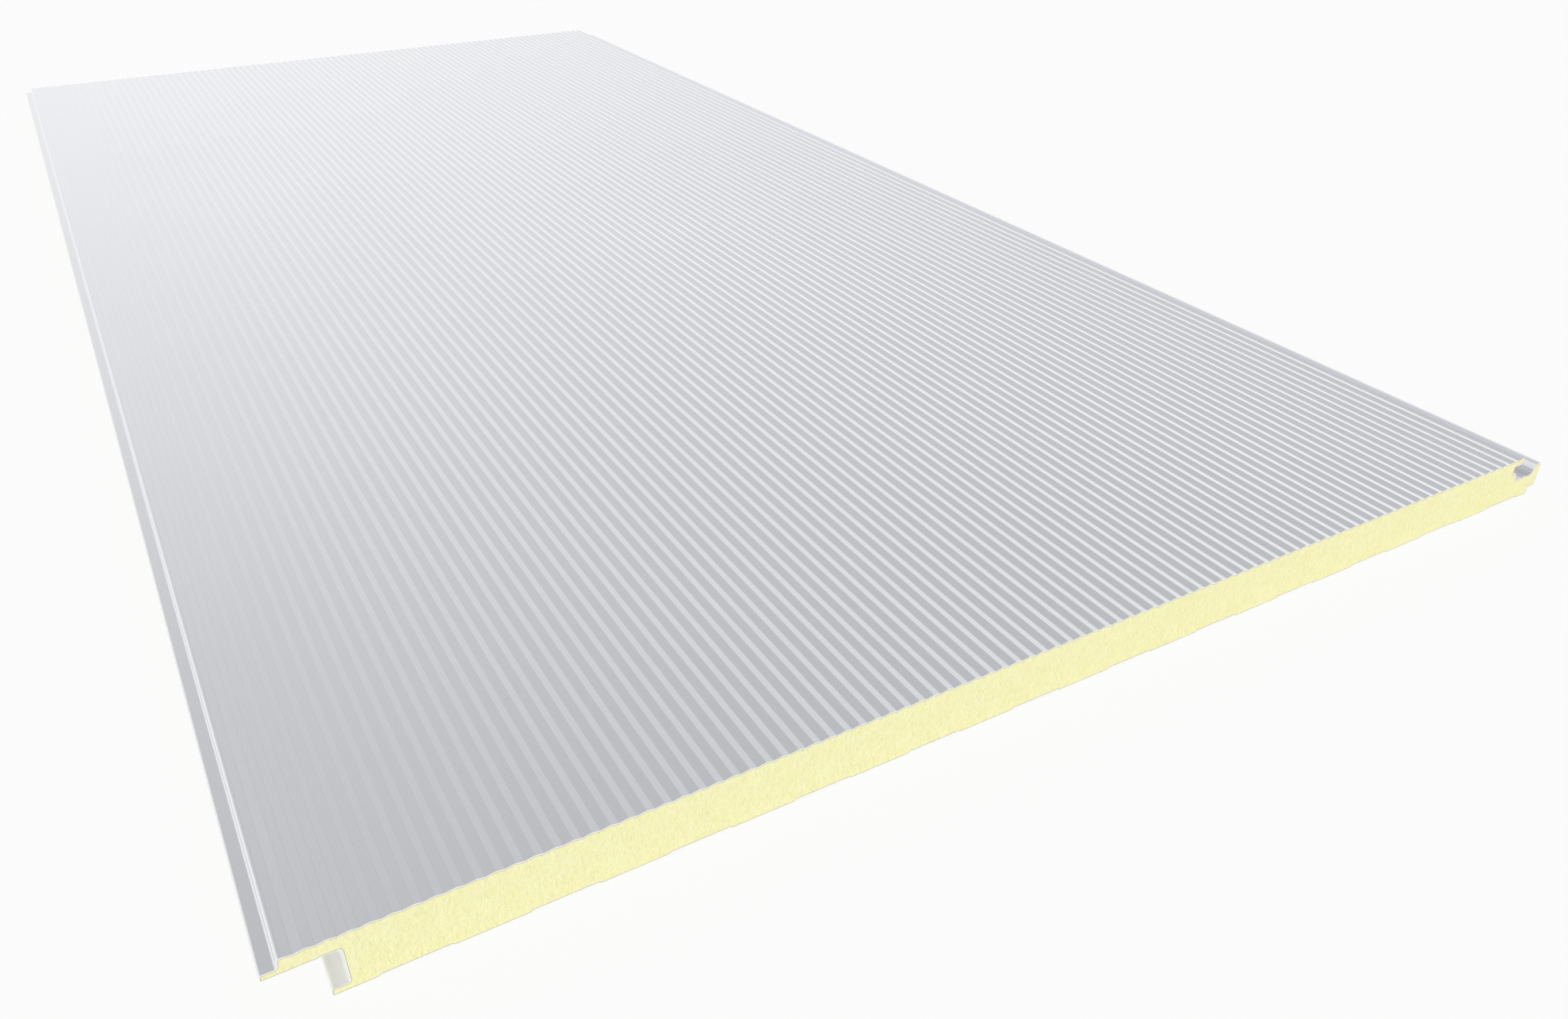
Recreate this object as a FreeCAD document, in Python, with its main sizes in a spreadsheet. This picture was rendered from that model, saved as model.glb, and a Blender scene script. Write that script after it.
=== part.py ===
"""Insulated sandwich wall panel with a micro-ribbed outer face and a concealed-fixing side joint.

Two roll-formed steel sheets are bonded to a rigid foam core.  The cross-section is the same all
along the panel, so each piece is drawn as a section and padded to the panel's length:

    outer_sheet  ribbed sheet; one edge steps down to a tongue, the other is folded into a lip,
                 a fixing channel and a hook
    inner_sheet  lined sheet; one edge wraps the inner lip and lines the groove
    foam_core    the foam between them, which takes the form of both sheets

Frame: X across the panel, Y along it, Z up.  The panel lies on its inner face, and the origin is
on the floor at the centre of the panel's box.
"""

import FreeCAD, Part
import math
import os
import re

import Sketcher

# Driving dimensions, in millimetres.
DIMENSIONS = {
    # whole panel; the thickness runs from the floor to the bottom of the outer ribs
    "panel_length": 2060.0,
    "cover_width": 1000.0,
    "panel_thickness": 40.0,
    # steel sheets
    "outer_steel": 0.7,
    "inner_steel": 0.5,
    "bend_radius": 0.8,
    "step_radius": 1.6,
    # ribs of the outer sheet: a falling facet, a slightly longer rising one, a flat at each bend
    "rib_count": 91,
    "rib_depth": 0.9,
    "rib_flat": 0.6,
    "fall_share": 0.47,
    # shallow raised bands of the inner sheet
    "band_count": 12,
    "band_width": 41.5,
    "band_slope": 2.0,
    "band_depth": 1.1,
    "first_gap": 23.5,
    "last_gap": 12.5,
    # tongue and groove, and the inner lip under the groove
    "flange_reach": 9.2,
    "flange_drop": 5.5,
    "tongue_foam": 3.2,
    "groove_depth": 30.5,
    "groove_corner": 2.4,
    "groove_foot": 1.3,
    "groove_return": 9.0,
    "inner_lip_reach": 10.0,
    "inner_lip_foam": 3.75,
    # outer lip, fixing channel and hook on the other side
    "outer_lip_lean": 0.6,
    "shelf_width": 4.3,
    "channel_depth": 8.05,
    "channel_slope": 3.3,
    "ridge_place": 9.5,
    "ridge_height": 0.9,
    "ridge_rise": 1.1,
    "ridge_fall": 5.0,
    "hook_slope": 5.7,
    "hook_width": 5.4,
    "bare_foot": 6.1,
    # play between this panel's hook side and the groove side of the next one
    "joint_gap": 1.3,
    "seat_gap": 0.25,
    "tongue_play": 2.4,
    "shelf_play": 2.9,
    "hook_play": 2.15,
    "gasket_gap": 3.0,
    "inner_gap": 2.0,
    # how far clear of a sheet the outline of a pressing starts
    "clear_of": 1.0,
}
# Section positions worked out from them: across the panel from the cover line on the groove side,
# and upwards from the floor.  The hook side is placed by where the next panel's groove side comes.
POSITIONS = {
    "valley": "panel_thickness",
    "crest": "valley + rib_depth",
    "outer_bend": "bend_radius + outer_steel",
    "inner_bend": "bend_radius + inner_steel",
    "step_bend": "step_radius + outer_steel",
    "corner_bend": "groove_corner + inner_steel",
    "foot_bend": "groove_foot + inner_steel",
    "flange_tip": "-flange_reach",
    "flange_top": "valley - flange_drop",
    "tongue_under": "flange_top - outer_steel - tongue_foam",
    "inner_lip_top": "inner_lip_foam + 2 * inner_steel",
    "inner_lip_tip": "groove_depth - inner_lip_reach",
    "return_end": "groove_depth - groove_corner - groove_return",
    "outer_lip_tip": "cover_width - joint_gap",
    "outer_lip_under": "flange_top + seat_gap",
    "channel_wall": "cover_width - flange_reach - tongue_play",
    "shelf_height": "tongue_under - shelf_play",
    "shelf_edge": "channel_wall + shelf_width",
    "channel_floor": "shelf_height - channel_depth",
    "channel_foot": "shelf_edge + channel_slope",
    "ridge_foot": "channel_foot + ridge_place",
    "ridge_top": "ridge_foot + ridge_rise",
    "ridge_end": "ridge_top + ridge_fall",
    "hook_top": "tongue_under - hook_play",
    "hook_face": "cover_width + groove_depth - gasket_gap",
    "hook_start": "hook_face - hook_width",
    "hook_heel": "hook_start - hook_slope",
    "hook_foot": "inner_lip_top + hook_play",
    "skirt_height": "hook_foot + bare_foot",
    "recess_wall": "cover_width + inner_lip_tip - inner_gap",
    "first_crest": "1.35 * step_bend",
    "last_crest": "outer_lip_tip - outer_lip_lean - 1.2 * outer_bend",
    "rib_pitch": "(last_crest - first_crest) / rib_count",
    "rib_fall": "rib_pitch * fall_share",
    "rib_rise": "rib_pitch - rib_fall",
    "first_band": "inner_lip_tip + first_gap",
    "last_band": "recess_wall - last_gap - band_width",
    "band_pitch": "(last_band - first_band) / (band_count - 1)",
    "to_centre": "(flange_reach - hook_face) / 2",
}

# The sheets, drawn as the line of the face in the open air, with the steel on the right of it.
# Each corner is x, z and, at a bend, the radius of the drawn face and of the other face.
OUTWARD = ("outer_bend", "bend_radius")
INWARD = ("bend_radius", "outer_bend")
STEP_FOOT = ("step_radius", "step_bend")
STEP_TOP = ("step_bend", "step_radius")
OUTER_PATH = [
    ("flange_tip", "tongue_under"),
    ("flange_tip", "flange_top", OUTWARD),
    ("0", "flange_top", STEP_FOOT),
    ("0", "crest", STEP_TOP),
    ("first_crest + rib_flat / 2", "crest"),
    ("first_crest + rib_fall - rib_flat / 2", "valley"),
    ("last_crest - rib_rise + rib_flat / 2", "valley"),
    ("last_crest - rib_flat / 2", "crest"),
    ("outer_lip_tip - outer_lip_lean", "crest", OUTWARD),
    ("outer_lip_tip", "outer_lip_under", OUTWARD),
    ("channel_wall", "outer_lip_under", INWARD),
    ("channel_wall", "shelf_height", INWARD),
    ("shelf_edge", "shelf_height", OUTWARD),
    ("channel_foot", "channel_floor", INWARD),
    ("ridge_foot", "channel_floor"),
    ("ridge_top", "channel_floor + ridge_height"),
    ("ridge_end", "channel_floor"),
    ("hook_heel", "channel_floor", INWARD),
    ("hook_start", "hook_top", OUTWARD),
    ("hook_face", "hook_top", OUTWARD),
    ("hook_face", "skirt_height"),
]
RIBBED = (4, 5, 6)      # the lines of the path that stand for all the ribs

INNER_WRAP = ("inner_bend", "bend_radius")
GROOVE_FOOT = ("groove_foot", "foot_bend")
GROOVE_ROOF = ("groove_corner", "corner_bend")
INNER_PATH = [
    ("recess_wall", "0"),
    ("last_band + band_width", "0"),
    ("last_band + band_width - band_slope", "band_depth"),
    ("first_band + band_slope", "band_depth"),
    ("first_band", "0"),
    ("inner_lip_tip", "0", INNER_WRAP),
    ("inner_lip_tip", "inner_lip_top", INNER_WRAP),
    ("groove_depth", "inner_lip_top", GROOVE_FOOT),
    ("groove_depth", "tongue_under", GROOVE_ROOF),
    ("return_end", "tongue_under"),
]
BANDED = (1, 2, 3)      # the lines of the path that stand for all the bands

# One valley and one ridge of each sheet, from the middle of one flat to the middle of another.
RIB_VALLEY = [
    ("first_crest", "crest"),
    ("first_crest + rib_flat / 2", "crest"),
    ("first_crest + rib_fall - rib_flat / 2", "valley"),
    ("first_crest + rib_fall + rib_flat / 2", "valley"),
    ("first_crest + rib_pitch - rib_flat / 2", "crest"),
    ("first_crest + rib_pitch", "crest"),
]
RIB_RIDGE = [
    ("first_crest + rib_fall", "valley"),
    ("first_crest + rib_fall + rib_flat / 2", "valley"),
    ("first_crest + rib_pitch - rib_flat / 2", "crest"),
    ("first_crest + rib_pitch + rib_flat / 2", "crest"),
    ("first_crest + rib_pitch + rib_fall - rib_flat / 2", "valley"),
    ("first_crest + rib_pitch + rib_fall", "valley"),
]
BAND_RAISED = [
    ("first_band + band_width + band_slope", "0"),
    ("first_band + band_width", "0"),
    ("first_band + band_width - band_slope", "band_depth"),
    ("first_band + band_slope", "band_depth"),
    ("first_band", "0"),
    ("first_band - band_slope", "0"),
]
BAND_BETWEEN = [
    ("first_band + band_pitch + 2 * band_slope", "band_depth"),
    ("first_band + band_pitch + band_slope", "band_depth"),
    ("first_band + band_pitch", "0"),
    ("first_band + band_width", "0"),
    ("first_band + band_width - band_slope", "band_depth"),
    ("first_band + band_width - 2 * band_slope", "band_depth"),
]

START, END = 1, 2     # which end of a drawn line


def make_sheet(doc):
    """The spreadsheet that holds every size and every position worked out from them."""
    sheet = doc.addObject("Spreadsheet::Sheet", "sizes")
    rows = [(name, str(value)) for name, value in DIMENSIONS.items()]
    rows += [(name, "=" + formula) for name, formula in POSITIONS.items()]
    for row, (name, content) in enumerate(rows, 1):
        sheet.set(f"A{row}", name)
        sheet.set(f"B{row}", content)
        sheet.setAlias(f"B{row}", name)
    doc.recompute()
    return sheet


def from_sheet(formula):
    """The formula as an object outside the spreadsheet writes it."""
    return re.sub(r"[a-z_]{2,}", r"sizes.\g<0>", formula)


class Section:
    """A sketch across the panel whose every size is bound to the spreadsheet."""

    def __init__(self, body, sheet, label):
        self.sheet = sheet
        self.shapes, self.helpers, self.ties, self.formulas = [], [], [], {}
        self.sketch = body.newObject("Sketcher::SketchObject", label)
        plane = next(o for o in body.Origin.OriginFeatures if o.Role == "XZ_Plane")
        self.sketch.AttachmentSupport = [(plane, "")]
        self.sketch.MapMode = "FlatFace"
        self.sketch.setExpression("AttachmentOffset.Base.x", "sizes.to_centre")

    def value(self, formula):
        return float(self.sheet.evalExpression(formula))

    def point(self, corner):
        return FreeCAD.Vector(self.value(corner[0]), self.value(corner[1]), 0)

    def draw(self, shape, construction=False):
        self.shapes.append(shape)
        if construction:
            self.helpers.append(len(self.shapes) - 1)
        return len(self.shapes) - 1

    def tie(self, *constraint):
        self.ties.append(Sketcher.Constraint(*constraint))

    def bind(self, constraint, formula):
        """A constraint with a size, which follows the spreadsheet."""
        self.formulas[len(self.ties)] = formula
        self.tie(*constraint, self.value(formula))

    def place(self, geometry, end, corner):
        """Holds a point at the section position named by the corner."""
        self.bind(("DistanceX", geometry, end), corner[0])
        self.bind(("DistanceY", geometry, end), corner[1])

    def finish(self):
        """Hands the drawing to the sketch in one go, and binds its sizes."""
        self.sketch.addGeometry(self.shapes, False)
        for helper in self.helpers:
            self.sketch.setConstruction(helper, True)
        self.sketch.addConstraint(self.ties)
        for index, formula in self.formulas.items():
            self.sketch.setExpression(f"Constraints[{index}]", from_sheet(formula))
        return self.sketch

    def line(self, start, end, construction=False):
        return self.draw(Part.LineSegment(start, end), construction)

    def join(self, before, after, radius, construction=False):
        """Joins two drawn lines at their common corner, square or with a bend of that radius."""
        if radius is None:
            self.tie("Coincident", before, END, after, START)
            return
        first, second = self.shapes[before], self.shapes[after]
        into = (first.EndPoint - first.StartPoint).normalize()
        out = (second.EndPoint - second.StartPoint).normalize()
        size = self.value(radius)
        left_turn = into.cross(out).z > 0
        across = FreeCAD.Vector(-into.y, into.x, 0) * (size if left_turn else -size)
        centre = first.EndPoint + across
        begin, finish = first.EndPoint, second.StartPoint
        ends = (begin, finish) if left_turn else (finish, begin)
        angles = [math.atan2(p.y - centre.y, p.x - centre.x) for p in ends]
        circle = Part.Circle(centre, FreeCAD.Vector(0, 0, 1), size)
        arc = self.draw(Part.ArcOfCircle(circle, *angles), construction)
        near, far = (START, END) if left_turn else (END, START)
        self.tie("Tangent", before, END, arc, near)
        self.tie("Tangent", arc, far, after, START)
        self.bind(("Radius", arc), radius)

    def straights(self, points, radii):
        """The straight parts of a path, cut back where a bend takes the corner."""
        cuts = [0.0] * len(points)
        for k, radius in enumerate(radii):
            if radius is not None:
                turn = (points[k] - points[k - 1]).getAngle(points[k + 1] - points[k])
                cuts[k] = self.value(radius) * math.tan(turn / 2)
        spans = []
        for k, (start, end) in enumerate(zip(points, points[1:])):
            along = (end - start).normalize()
            spans.append((start + along * cuts[k], end - along * cuts[k + 1]))
        return spans

    def air_face(self, path, hidden=()):
        """Draws the face of a sheet in the open air; hidden lines only guide the others."""
        points = [self.point(corner) for corner in path]
        radii = [corner[2][0] if len(corner) > 2 else None for corner in path]
        lines = [self.line(*span, k in hidden)
                 for k, span in enumerate(self.straights(points, radii))]
        self.place(lines[0], START, path[0])
        self.place(lines[-1], END, path[-1])
        for k, (before, after) in enumerate(zip(lines, lines[1:]), 1):
            self.join(before, after, radii[k], k in hidden)
            if radii[k] is None:
                self.place(after, START, path[k])
                continue
            corner = self.draw(Part.Point(points[k]), True)
            self.tie("PointOnObject", corner, START, before)
            self.tie("PointOnObject", corner, START, after)
            self.place(corner, START, path[k])
        return lines

    def guide(self, path):
        """The same face as plain guide lines from corner to corner, which aren't built."""
        sharp = [corner[:2] for corner in path]
        return self.air_face(sharp, range(len(path)))

    def foam_face(self, path, air_lines, steel, hidden=()):
        """Draws the other face, one steel thickness to the right of the first all the way."""
        gap = self.value(steel)
        ways = [(self.point(b) - self.point(a)).normalize() for a, b in zip(path, path[1:])]
        rights = [FreeCAD.Vector(way.y, -way.x, 0) for way in ways]
        points = [self.point(path[0]) + square_end(rights[0]) * gap]
        for k in range(1, len(path) - 1):
            mitre = rights[k - 1] + rights[k]
            mitre = mitre * (1.0 / (1.0 + rights[k - 1].dot(rights[k])))
            points.append(self.point(path[k]) + mitre * gap)
        points.append(self.point(path[-1]) + square_end(rights[-1]) * gap)
        radii = [corner[2][1] if len(corner) > 2 else None for corner in path]
        lines = [self.line(*span, k in hidden)
                 for k, span in enumerate(self.straights(points, radii))]
        for line, air_line in zip(lines, air_lines):
            self.tie("Parallel", line, air_line)
            self.bind(("Distance", line, START, air_line), steel)
        for k, (before, after) in enumerate(zip(lines, lines[1:]), 1):
            self.join(before, after, radii[k], k in hidden)
        self.align(lines[0], START, air_lines[0], rights[0])
        self.align(lines[-1], END, air_lines[-1], rights[-1])
        return lines

    def align(self, line, end, air_line, right):
        """Ends both faces of a sheet level with each other, upright or flat."""
        kind = "Vertical" if abs(right.y) > abs(right.x) else "Horizontal"
        self.tie(kind, line, end, air_line, end)

    def drawn_end(self, line, end):
        shape = self.shapes[line]
        return shape.StartPoint if end == START else shape.EndPoint

    def bare_edge(self, start, corners, finish):
        """Straight edges from one drawn end, through the corners, to another."""
        points = [self.drawn_end(*start)] + [self.point(corner) for corner in corners]
        points.append(self.drawn_end(*finish))
        lines = [self.line(*span) for span in zip(points, points[1:])]
        self.tie("Coincident", *start, lines[0], START)
        for before, after, corner in zip(lines, lines[1:], corners):
            self.tie("Coincident", before, END, after, START)
            self.place(after, START, corner)
        self.tie("Coincident", lines[-1], END, *finish)

    def bridge(self, lines, span):
        """A straight edge in place of the ribs or bands, which are pressed into it later."""
        self.bare_edge((lines[span[0] - 1], END), [], (lines[span[-1] + 1], START))

    def blank(self, path, span, steel):
        """A folded sheet that is still a plain thick strip where its ribs or bands go."""
        air = self.air_face(path, span)
        foam = self.foam_face(path, air, steel)
        self.bridge(air, span)
        self.bare_edge((air[0], START), [], (foam[0], START))
        self.bare_edge((air[-1], END), [], (foam[-1], END))

    def foam_side(self, path, span, steel):
        """The foam's own edge where it lies against a sheet, plain where the ribs or bands go."""
        foam = self.foam_face(path, self.guide(path), steel, span)
        self.bridge(foam, span)
        return foam

    def press(self, path, level, steel=None):
        """The outline pressed out for one rib or band: on the air face, or one sheet behind it."""
        ends = (0, len(path) - 2)
        if steel is None:
            lines = self.air_face(path, ends)
        else:
            lines = self.foam_face(path, self.guide(path), steel, ends)
        self.bare_edge((lines[-2], END), [(path[-2][0], level), (path[1][0], level)],
                       (lines[1], START))


def square_end(right):
    """The sideways step between the faces at a sheet's end, which is cut upright or flat."""
    if abs(right.y) > abs(right.x):
        return FreeCAD.Vector(0, 1 / right.y, 0)
    return FreeCAD.Vector(1 / right.x, 0, 0)


def pad(body, section, kind="PartDesign::Pad"):
    """Carries a section the whole length of the panel, or cuts it all through."""
    sketch = section.finish()
    feature = body.newObject(kind, sketch.Label + "_run")
    feature.Profile = sketch
    feature.SideType = "Symmetric"
    if kind == "PartDesign::Pocket":
        feature.Type = "ThroughAll"
    else:
        feature.setExpression("Length", "sizes.panel_length")
    return feature


def repeat_across(body, feature, pitch, count):
    pattern = body.newObject("PartDesign::LinearPattern", feature.Label + "_repeated")
    pattern.Originals = [feature]
    axis = next(o for o in body.Origin.OriginFeatures if o.Role == "X_Axis")
    pattern.Direction = (axis, [""])
    pattern.Mode = "Spacing"
    pattern.setExpression("Offset", from_sheet(pitch))
    pattern.setExpression("Occurrences", from_sheet(count))
    body.Tip = pattern


def press_across(body, sheet, label, path, level, pitch, count, steel=None):
    """Cuts one rib's or band's outline out along the panel, and repeats it across."""
    section = Section(body, sheet, label)
    section.press(path, level, steel)
    cut = pad(body, section, "PartDesign::Pocket")
    repeat_across(body, cut, pitch, count)


def make_outer_sheet(doc, sheet):
    body = doc.addObject("PartDesign::Body", "outer_sheet")
    section = Section(body, sheet, "outer_blank")
    section.blank(OUTER_PATH, RIBBED, "outer_steel")
    pad(body, section)
    press_across(body, sheet, "rib_valley", RIB_VALLEY, "crest + clear_of", "rib_pitch", "rib_count")
    press_across(body, sheet, "rib_hollow", RIB_RIDGE, "valley - outer_steel - clear_of",
                 "rib_pitch", "rib_count - 1", "outer_steel")
    return body


def make_inner_sheet(doc, sheet):
    body = doc.addObject("PartDesign::Body", "inner_sheet")
    section = Section(body, sheet, "inner_blank")
    section.blank(INNER_PATH, BANDED, "inner_steel")
    pad(body, section)
    press_across(body, sheet, "band_recess", BAND_RAISED, "-clear_of", "band_pitch", "band_count")
    press_across(body, sheet, "band_gap", BAND_BETWEEN, "band_depth + inner_steel + clear_of",
                 "band_pitch", "band_count - 1", "inner_steel")
    return body


def make_foam_core(doc, sheet):
    """The block of foam between the folded edges, then the outer ribs and inner bands in it."""
    body = doc.addObject("PartDesign::Body", "foam_core")
    section = Section(body, sheet, "foam_block")
    outer = section.foam_side(OUTER_PATH, RIBBED, "outer_steel")
    inner = section.foam_side(INNER_PATH, BANDED, "inner_steel")
    section.bare_edge((outer[-1], END), [("hook_face - outer_steel", "hook_foot"),
                                         ("recess_wall", "hook_foot")], (inner[0], START))
    section.bare_edge((inner[-1], END), [("return_end", "tongue_under")], (outer[0], START))
    pad(body, section)
    press_across(body, sheet, "foam_valley", RIB_VALLEY, "crest + clear_of", "rib_pitch",
                 "rib_count", "outer_steel")
    press_across(body, sheet, "foam_recess", BAND_RAISED, "-clear_of", "band_pitch",
                 "band_count", "inner_steel")
    return body


def check(doc):
    """Stops the build when any object failed or gave no sound shape."""
    for thing in doc.Objects:
        if "Invalid" in thing.State or "Error" in thing.State:
            raise RuntimeError(f"{thing.Label}: {thing.State}")
        if thing.isDerivedFrom("Part::Feature") and (thing.Shape.isNull() or not thing.Shape.isValid()):
            raise RuntimeError(f"{thing.Label}: no sound shape")


def main():
    os.makedirs("parts", exist_ok=True)
    doc = FreeCAD.newDocument("sandwich_panel")
    sheet = make_sheet(doc)
    pieces = [make(doc, sheet) for make in (make_outer_sheet, make_inner_sheet, make_foam_core)]
    doc.recompute()
    check(doc)
    for piece in pieces:
        if len(piece.Shape.Solids) != 1:
            raise RuntimeError(f"{piece.Label}: {len(piece.Shape.Solids)} solids")
        piece.Shape.exportStep(f"parts/{piece.Label}.step")
        print(piece.Label, piece.Shape.BoundBox, round(piece.Shape.Volume), len(piece.Shape.Faces))


main()
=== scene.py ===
import bpy
from mathutils import Matrix, Vector

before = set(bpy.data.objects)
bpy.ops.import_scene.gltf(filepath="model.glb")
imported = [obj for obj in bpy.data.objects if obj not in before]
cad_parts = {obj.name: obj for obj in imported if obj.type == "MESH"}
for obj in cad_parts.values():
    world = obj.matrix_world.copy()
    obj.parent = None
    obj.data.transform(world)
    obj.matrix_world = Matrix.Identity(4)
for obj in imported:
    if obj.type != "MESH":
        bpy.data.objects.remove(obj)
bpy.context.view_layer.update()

# Finishes.  Colours are linear.  The cut-end colour is a painted highlight, and the streak strength
# is how strongly lengthwise streaks of painted reflection show.
OUTER_COATING = dict(colour=(0.862, 0.870, 0.907), metallic=0.90, roughness=0.125,
                     cut_edge_highlight=(0.95, 0.95, 0.96), painted_streaks=0.012)
INNER_COATING = dict(colour=(0.950, 0.953, 0.960), metallic=0.10, roughness=0.30,
                     cut_edge_highlight=(0.92, 0.92, 0.93), painted_streaks=0.16)
FOAM_DARK = (0.940, 0.915, 0.520)
FOAM = (0.965, 0.945, 0.570)
FOAM_PALE = (0.975, 0.960, 0.615)
FOAM_SHADE = (0.85, 0.81, 0.41)
EDGE_LINE = (0.14, 0.14, 0.14)
EDGE_LINE_WIDTH = 0.0009

# Studio.  The sky's brightness is given by the sine of the height above the horizon.  FLOOR_GLOW
# is the share of plain white in the floor where it is seen or mirrored.
FLOOR_SIZE = 40.0
FLOOR_DROP = 0.0002
FLOOR_COLOUR = (0.92, 0.92, 0.92)
FLOOR_GLOW = 0.90
SKY = [(0.04, 1.0), (0.16, 0.98), (0.35, 0.845), (0.55, 0.665), (0.75, 0.55), (1.0, 0.45)]
SKY_LEFT = (1.04, 1.04, 1.04)
SEEN_BACKGROUND = (0.97, 0.97, 0.97)
FILL_FROM = Vector((-0.62, -0.75, 0.22))
FILL_STRENGTH = 1.08
FILL_ANGLE = 0.6

CAMERA_PLACE = Vector((-0.4959, -1.5037, 0.5493))
CAMERA_FORWARD = Vector((0.4266, 0.7358, -0.5259))
CAMERA_LENS = 28.68
CAMERA_SENSOR = 36.0


# ---------------------------------------------------------------- node helpers
def new_tree(name, shader="ShaderNodeBsdfPrincipled"):
    """A material with only its output and one shader."""
    mat = bpy.data.materials.new(name)
    mat.use_nodes = True
    nt = mat.node_tree
    nt.nodes.clear()
    out = nt.nodes.new("ShaderNodeOutputMaterial")
    surface = nt.nodes.new(shader)
    nt.links.new(surface.outputs[0], out.inputs[0])
    return mat, nt, surface


def plug(nt, socket, value):
    """Sets a socket from a number, a colour or another node's output."""
    if isinstance(value, (int, float)):
        socket.default_value = value
    elif isinstance(value, tuple):
        socket.default_value = (*value, 1.0)
    else:
        nt.links.new(value, socket)


def calc(nt, operation, a, b=0.0, c=0.0, clamp=False):
    """The output of one Math node."""
    node = nt.nodes.new("ShaderNodeMath")
    node.operation = operation
    node.use_clamp = clamp
    for socket, value in zip(node.inputs, (a, b, c)):
        plug(nt, socket, value)
    return node.outputs[0]


def spread(nt, value, low, high):
    """Stretches a 0..1 pattern to low..high."""
    return calc(nt, "MULTIPLY_ADD", value, high - low, low)


def mix(nt, share, a, b, blend="MIX"):
    """Colour a with the given share of colour b."""
    node = nt.nodes.new("ShaderNodeMix")
    node.data_type = "RGBA"
    node.blend_type = blend
    plug(nt, node.inputs[0], share)
    plug(nt, node.inputs[6], a)
    plug(nt, node.inputs[7], b)
    return node.outputs[2]


def ramp(nt, value, stops):
    """A colour ramp through (place, grey or colour) stops."""
    node = nt.nodes.new("ShaderNodeValToRGB")
    while len(node.color_ramp.elements) < len(stops):
        node.color_ramp.elements.new(0.5)
    for element, (place, shade) in zip(node.color_ramp.elements, stops):
        element.position = place
        element.color = (*(shade if isinstance(shade, tuple) else (shade,) * 3), 1.0)
    nt.links.new(value, node.inputs[0])
    return node.outputs[0]


def coords(nt, scale=(1, 1, 1), turn=(0, 0, 0)):
    """Places on the piece in metres, stretched and turned for a pattern with a direction."""
    place = nt.nodes.new("ShaderNodeTexCoord")
    mapping = nt.nodes.new("ShaderNodeMapping")
    mapping.inputs["Scale"].default_value = scale
    mapping.inputs["Rotation"].default_value = turn
    nt.links.new(place.outputs["Object"], mapping.inputs["Vector"])
    return mapping.outputs[0]


def noise(nt, where, scale, detail=3.0, rough=0.55, distortion=0.0):
    """Soft noise, 0..1, with scale lumps to the metre."""
    node = nt.nodes.new("ShaderNodeTexNoise")
    node.inputs["Scale"].default_value = scale
    node.inputs["Detail"].default_value = detail
    node.inputs["Roughness"].default_value = rough
    node.inputs["Distortion"].default_value = distortion
    nt.links.new(where, node.inputs["Vector"])
    return node.outputs[0]


def cells(nt, where, scale):
    """Distance from the middle of the nearest cell, with scale cells to the metre."""
    node = nt.nodes.new("ShaderNodeTexVoronoi")
    node.inputs["Scale"].default_value = scale
    nt.links.new(where, node.inputs["Vector"])
    return node.outputs["Distance"]


def bump(nt, height, distance, strength, normal=None):
    """A normal that follows a height pattern, distance metres high."""
    node = nt.nodes.new("ShaderNodeBump")
    node.inputs["Distance"].default_value = distance
    node.inputs["Strength"].default_value = strength
    nt.links.new(height, node.inputs["Height"])
    if normal is not None:
        nt.links.new(normal, node.inputs["Normal"])
    return node.outputs[0]


def component(nt, vector, axis):
    """The x, y or z of a vector."""
    parts = nt.nodes.new("ShaderNodeSeparateXYZ")
    nt.links.new(vector, parts.inputs[0])
    return parts.outputs["XYZ".index(axis)]


def end_face(nt):
    """1 on the cut faces at the two ends of the panel, 0 elsewhere."""
    geometry = nt.nodes.new("ShaderNodeNewGeometry")
    facing = component(nt, geometry.outputs["True Normal"], "Y")
    return calc(nt, "GREATER_THAN", calc(nt, "ABSOLUTE", facing), 0.9)


def near_edge(nt, width):
    """1 along the sharp edges of a piece, fading to 0 at the width from them."""
    rounded = nt.nodes.new("ShaderNodeBevel")
    rounded.samples = 6
    rounded.inputs["Radius"].default_value = width
    geometry = nt.nodes.new("ShaderNodeNewGeometry")
    agreement = nt.nodes.new("ShaderNodeVectorMath")
    agreement.operation = "DOT_PRODUCT"
    nt.links.new(rounded.outputs[0], agreement.inputs[0])
    nt.links.new(geometry.outputs["True Normal"], agreement.inputs[1])
    lean = calc(nt, "SUBTRACT", 1.0, agreement.outputs["Value"])
    return calc(nt, "MULTIPLY", lean, 9.0, clamp=True)


def put(node, mat):
    """Gives a solid its material."""
    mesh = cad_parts[node].data
    mesh.materials.clear()
    mesh.materials.append(mat)


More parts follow.
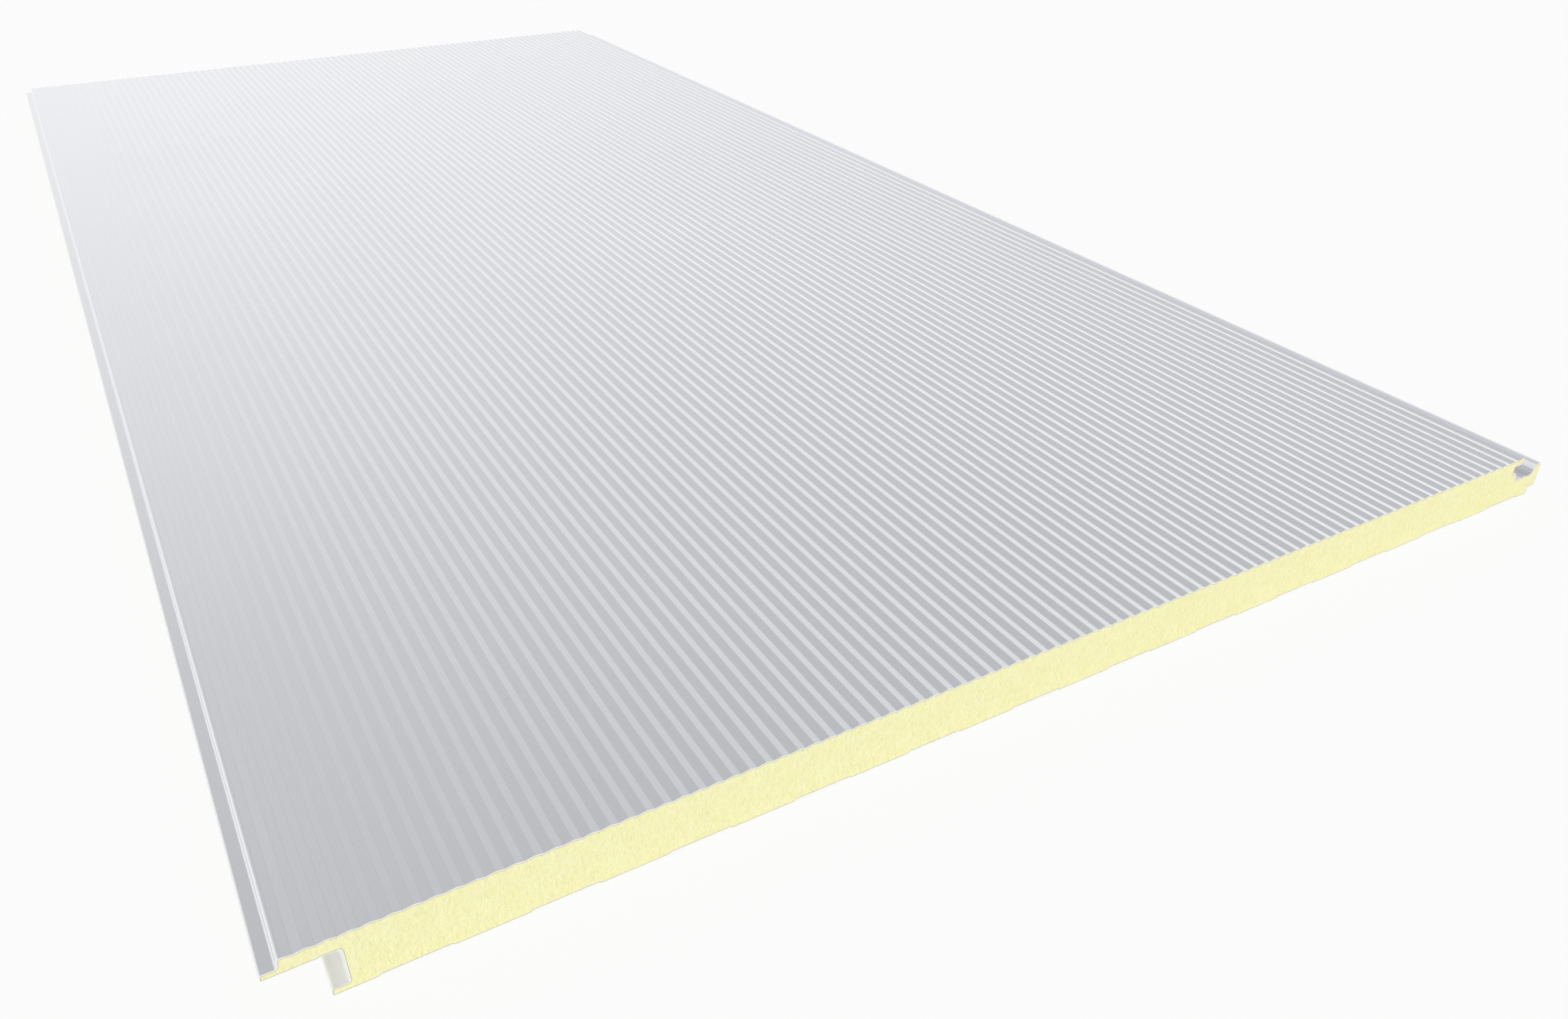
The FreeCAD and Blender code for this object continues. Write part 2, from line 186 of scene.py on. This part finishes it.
# ---------------------------------------------------------------- materials
def coated_steel(name, colour, metallic, roughness, cut_edge_highlight, painted_streaks):
    """Coil-coated sheet: fine grain in the paint, cut ends with a painted highlight, lengthwise
    streaks in the roughness, and the same streaks as painted reflection in the colour, which nearly
    fade out on the flat face that the panel lies on."""
    mat, nt, bsdf = new_tree(name)
    grain = noise(nt, coords(nt), 900.0)
    streak = noise(nt, coords(nt, (1.0, 0.01, 1.0)), 260.0, 2.0)
    cloud = noise(nt, coords(nt), 3.0, 2.0)

    # the painted reflection streaks have a tenth of their strength up to 1.3 mm above the floor,
    # all of it from 4.7 mm
    above_face = calc(nt, "MULTIPLY_ADD", component(nt, coords(nt), "Z"), 300.0, -0.4, clamp=True)
    # The colour streaks lighten and darken the paint lengthwise: a painted reflection.
    painted_streak = calc(nt, "MULTIPLY", spread(nt, streak, -painted_streaks, painted_streaks), spread(nt, above_face, 0.1, 1.0))
    tone = calc(nt, "MULTIPLY", calc(nt, "ADD", painted_streak, 1.0), spread(nt, cloud, 0.985, 1.015))
    painted = mix(nt, 1.0, tone, colour, "MULTIPLY")

    # The cut ends get a white, non-metal colour: a painted highlight standing in for light caught
    # along the sheets' cut edges.
    cut = end_face(nt)
    plug(nt, bsdf.inputs["Base Color"], mix(nt, cut, painted, cut_edge_highlight))
    plug(nt, bsdf.inputs["Metallic"], spread(nt, cut, metallic, 0.0))
    uneven = calc(nt, "ADD", spread(nt, grain, -0.03, 0.03), spread(nt, streak, -0.02, 0.02))
    plug(nt, bsdf.inputs["Roughness"], calc(nt, "ADD", uneven, roughness))
    plug(nt, bsdf.inputs["Normal"], bump(nt, grain, 0.00002, 0.25))
    return mat


def cut_foam(name):
    """Rigid foam: sawn at the ends, with cells, mottling and slanting tear lines with a little
    painted shade in their creases, smoother on the moulded sides, and darker in a thin line along
    the sharp edges of its sawn ends."""
    mat, nt, bsdf = new_tree(name)
    sawn = end_face(nt)
    fine = cells(nt, coords(nt), 900.0)
    small = noise(nt, coords(nt, (1.0, 1.0, 0.6), (0, 0.45, 0)), 420.0, 2.0, 0.5)
    mottle = noise(nt, coords(nt), 150.0, 3.0, 0.6)
    tear = noise(nt, coords(nt, (1.0, 1.0, 0.4), (0, 0.55, 0)), 90.0, 2.0, 0.5, 1.2)
    crease = calc(nt, "ABSOLUTE", calc(nt, "SUBTRACT", tear, 0.5))
    crease = calc(nt, "SUBTRACT", 1.0, calc(nt, "MULTIPLY", crease, 12.0, clamp=True))

    body = ramp(nt, mottle, [(0.30, FOAM_DARK), (0.52, FOAM), (0.75, FOAM_PALE)])
    body = mix(nt, spread(nt, small, 0.50, -0.24), body, FOAM_SHADE)
    body = mix(nt, calc(nt, "MULTIPLY", fine, 0.20), body, FOAM_SHADE)
    # The tear creases are a little darker in colour: painted shade in the creases, besides their
    # bump below.
    body = mix(nt, calc(nt, "MULTIPLY", crease, 0.04), body, FOAM_SHADE)
    # A thin dark line on the sawn ends, along their sharp edges next to the sheets.
    line = calc(nt, "MULTIPLY", near_edge(nt, EDGE_LINE_WIDTH), calc(nt, "MULTIPLY", sawn, 0.85))
    plug(nt, bsdf.inputs["Base Color"], mix(nt, line, body, EDGE_LINE))
    bsdf.inputs["Roughness"].default_value = 0.9
    bsdf.inputs["Specular IOR Level"].default_value = 0.2

    height = calc(nt, "ADD", calc(nt, "MULTIPLY", mottle, 0.3), calc(nt, "MULTIPLY", small, 0.7))
    height = calc(nt, "MULTIPLY_ADD", crease, -0.04, height)
    height = calc(nt, "MULTIPLY", height, spread(nt, sawn, 0.3, 1.0))
    torn = bump(nt, height, 0.0020, 0.60)
    plug(nt, bsdf.inputs["Normal"], bump(nt, fine, 0.0004, 0.30, torn))
    return mat


put("outer_sheet", coated_steel("outer_coating", **OUTER_COATING))
put("inner_sheet", coated_steel("inner_coating", **INNER_COATING))
put("foam_core", cut_foam("foam"))


# ---------------------------------------------------------------- floor and light
def make_floor():
    """A white floor, seen nearly white but still with the object's shadow."""
    bpy.ops.mesh.primitive_plane_add(size=FLOOR_SIZE, location=(0, 0, -FLOOR_DROP))
    floor = bpy.context.object
    floor.name = "floor"
    mat, nt, both = new_tree("floor", "ShaderNodeMixShader")
    diffuse = nt.nodes.new("ShaderNodeBsdfDiffuse")
    plug(nt, diffuse.inputs[0], FLOOR_COLOUR)
    glow = nt.nodes.new("ShaderNodeEmission")
    path = nt.nodes.new("ShaderNodeLightPath")
    mirrored = calc(nt, "MAXIMUM", path.outputs["Is Glossy Ray"],
                    path.outputs["Is Transmission Ray"])
    seen = calc(nt, "MAXIMUM", path.outputs["Is Camera Ray"], mirrored)
    plug(nt, both.inputs[0], calc(nt, "MULTIPLY", seen, FLOOR_GLOW))
    nt.links.new(diffuse.outputs[0], both.inputs[1])
    nt.links.new(glow.outputs[0], both.inputs[2])
    floor.data.materials.append(mat)


def make_world():
    """A studio that darkens from a white horizon up, less so on the left.  The camera itself sees
    an even, nearly white background, while the metal mirrors the darkening sky."""
    world = bpy.data.worlds.new("studio")
    bpy.context.scene.world = world
    world.use_nodes = True
    nt = world.node_tree
    nt.nodes.clear()
    out = nt.nodes.new("ShaderNodeOutputWorld")
    back = nt.nodes.new("ShaderNodeBackground")
    toward = nt.nodes.new("ShaderNodeTexCoord").outputs["Generated"]
    sky = ramp(nt, component(nt, toward, "Z"), SKY)
    left = calc(nt, "MULTIPLY_ADD", component(nt, toward, "X"), -2.0, -0.4, clamp=True)
    sky = mix(nt, calc(nt, "MULTIPLY", left, 0.6), sky, SKY_LEFT)
    path = nt.nodes.new("ShaderNodeLightPath")
    plug(nt, back.inputs[0], mix(nt, path.outputs["Is Camera Ray"], sky, SEEN_BACKGROUND))
    nt.links.new(back.outputs[0], out.inputs[0])


def make_fill():
    """Soft light from low at the front left, for the cut end and the open side, without glare."""
    lamp = bpy.data.lights.new("fill", "SUN")
    lamp.energy = FILL_STRENGTH
    lamp.angle = FILL_ANGLE
    ob = bpy.data.objects.new("fill", lamp)
    bpy.context.scene.collection.objects.link(ob)
    ob.matrix_world = FILL_FROM.to_track_quat("Z", "Y").to_matrix().to_4x4()
    ob.visible_glossy = False


make_floor()
make_world()
make_fill()


# ---------------------------------------------------------------- camera
def make_camera():
    """A plain camera at the photograph's angle, without roll or shift."""
    camera = bpy.data.cameras.new("camera")
    camera.sensor_fit = "HORIZONTAL"
    camera.sensor_width = CAMERA_SENSOR
    camera.lens = CAMERA_LENS
    camera.clip_start = 0.01
    ob = bpy.data.objects.new("camera", camera)
    bpy.context.scene.collection.objects.link(ob)
    forward = CAMERA_FORWARD.normalized()
    right = forward.cross(Vector((0, 0, 1))).normalized()
    up = right.cross(forward)
    turn = Matrix((right, up, -forward)).transposed().to_4x4()
    ob.matrix_world = Matrix.Translation(CAMERA_PLACE) @ turn
    bpy.context.scene.camera = ob


make_camera()
bpy.context.scene.view_settings.view_transform = "Standard"
